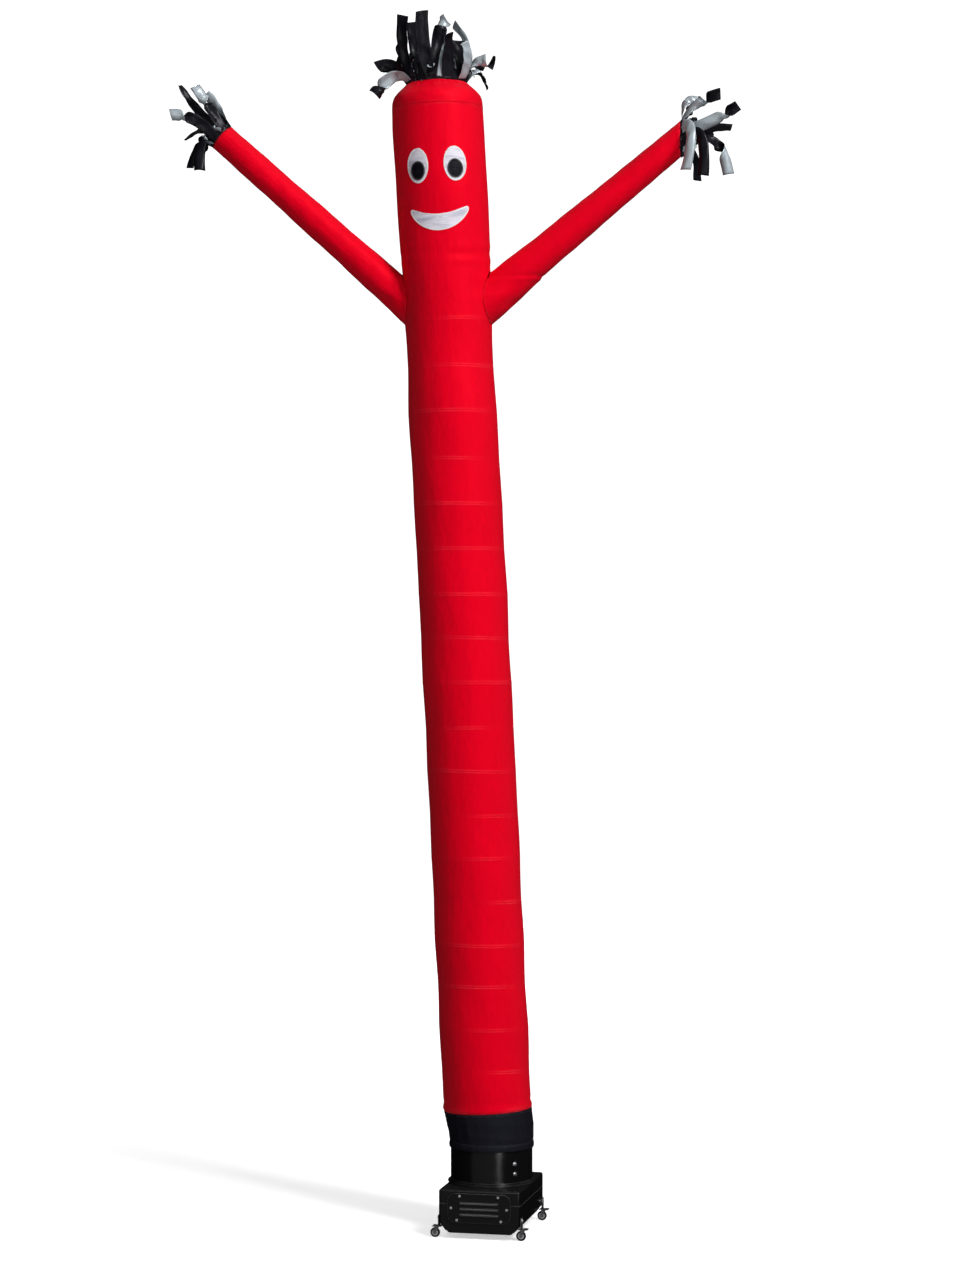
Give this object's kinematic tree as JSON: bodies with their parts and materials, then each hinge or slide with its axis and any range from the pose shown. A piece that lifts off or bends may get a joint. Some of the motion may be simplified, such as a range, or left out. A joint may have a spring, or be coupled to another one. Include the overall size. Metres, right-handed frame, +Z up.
{
  "type": "inflatable air dancer and blower",
  "caption": "Tall inflatable tube figure with a smiling face, raised arms and streamers at head and hands, held up by the blower that it stands on.",
  "frame": {"origin": "on the floor, under the middle of the whole figure's box; the blower's middle is 0.18 m from it towards +X", "axes": "+Z up; -Y is the blower's front; +X is to the right in front view; the figure leans towards -X as it rises, and its face is turned 7 degrees from -Y towards +X"},
  "size_m": [2.9388, 0.7539, 6.2762],
  "materials": {
    "red_nylon": "satin",
    "black_nylon": "satin",
    "white_satin": "satin",
    "black_satin": "satin",
    "streamer_cloth": "satin",
    "black_plastic": "gloss",
    "bright_steel": "polished",
    "wheel_rubber": "matte"
  },
  "bodies": {
    "figure_and_blower": {"body_tube": "red_nylon", "head_cap": "red_nylon", "arm_left": "red_nylon", "arm_right": "red_nylon", "cuff": "black_nylon", "eye_white_left": "white_satin", "eye_white_right": "white_satin", "mouth": "white_satin", "pupil_left": "black_satin", "pupil_right": "black_satin", "hair_streamers": "streamer_cloth", "hand_streamers_left": "streamer_cloth", "hand_streamers_right": "streamer_cloth", "housing": "black_plastic", "louvre_cover": "black_plastic", "collar": "black_plastic", "cover_screw_1": "bright_steel", "cover_screw_2": "bright_steel", "cover_screw_3": "bright_steel", "cover_screw_4": "bright_steel", "cover_screw_5": "bright_steel", "cover_screw_6": "bright_steel", "collar_bolt_1": "bright_steel", "collar_bolt_2": "bright_steel", "bracket_front_left": "bright_steel", "bracket_front_right": "bright_steel", "bracket_rear_left": "bright_steel", "bracket_rear_right": "bright_steel", "bracket_bolt_front_left": "bright_steel", "bracket_bolt_front_right": "bright_steel", "bracket_bolt_rear_left": "bright_steel", "bracket_bolt_rear_right": "bright_steel"},
    "caster_front_left": {"fork_front_left": "bright_steel"},
    "caster_front_right": {"fork_front_right": "bright_steel"},
    "caster_rear_left": {"fork_rear_left": "bright_steel"},
    "caster_rear_right": {"fork_rear_right": "bright_steel"},
    "roller_front_left": {"wheel_front_left": "wheel_rubber"},
    "roller_front_right": {"wheel_front_right": "wheel_rubber"},
    "roller_rear_left": {"wheel_rear_left": "wheel_rubber"},
    "roller_rear_right": {"wheel_rear_right": "wheel_rubber"}
  },
  "joints": [
    {"name": "swivel_front_left", "type": "hinge", "parent": "figure_and_blower", "child": "caster_front_left", "pos_m": [-0.044, -0.272, 0.058], "axis": [0, 0, 1], "continuous": true},
    {"name": "swivel_front_right", "type": "hinge", "parent": "figure_and_blower", "child": "caster_front_right", "pos_m": [0.404, -0.272, 0.058], "axis": [0, 0, 1], "continuous": true},
    {"name": "swivel_rear_left", "type": "hinge", "parent": "figure_and_blower", "child": "caster_rear_left", "pos_m": [-0.044, 0.272, 0.058], "axis": [0, 0, 1], "continuous": true},
    {"name": "swivel_rear_right", "type": "hinge", "parent": "figure_and_blower", "child": "caster_rear_right", "pos_m": [0.404, 0.272, 0.058], "axis": [0, 0, 1], "continuous": true},
    {"name": "roll_front_left", "type": "hinge", "parent": "caster_front_left", "child": "roller_front_left", "pos_m": [-0.056, -0.272, 0.025], "axis": [0, 1, 0], "continuous": true},
    {"name": "roll_front_right", "type": "hinge", "parent": "caster_front_right", "child": "roller_front_right", "pos_m": [0.392, -0.272, 0.025], "axis": [0, 1, 0], "continuous": true},
    {"name": "roll_rear_left", "type": "hinge", "parent": "caster_rear_left", "child": "roller_rear_left", "pos_m": [-0.056, 0.272, 0.025], "axis": [0, 1, 0], "continuous": true},
    {"name": "roll_rear_right", "type": "hinge", "parent": "caster_rear_right", "child": "roller_rear_right", "pos_m": [0.392, 0.272, 0.025], "axis": [0, 1, 0], "continuous": true}
  ]
}
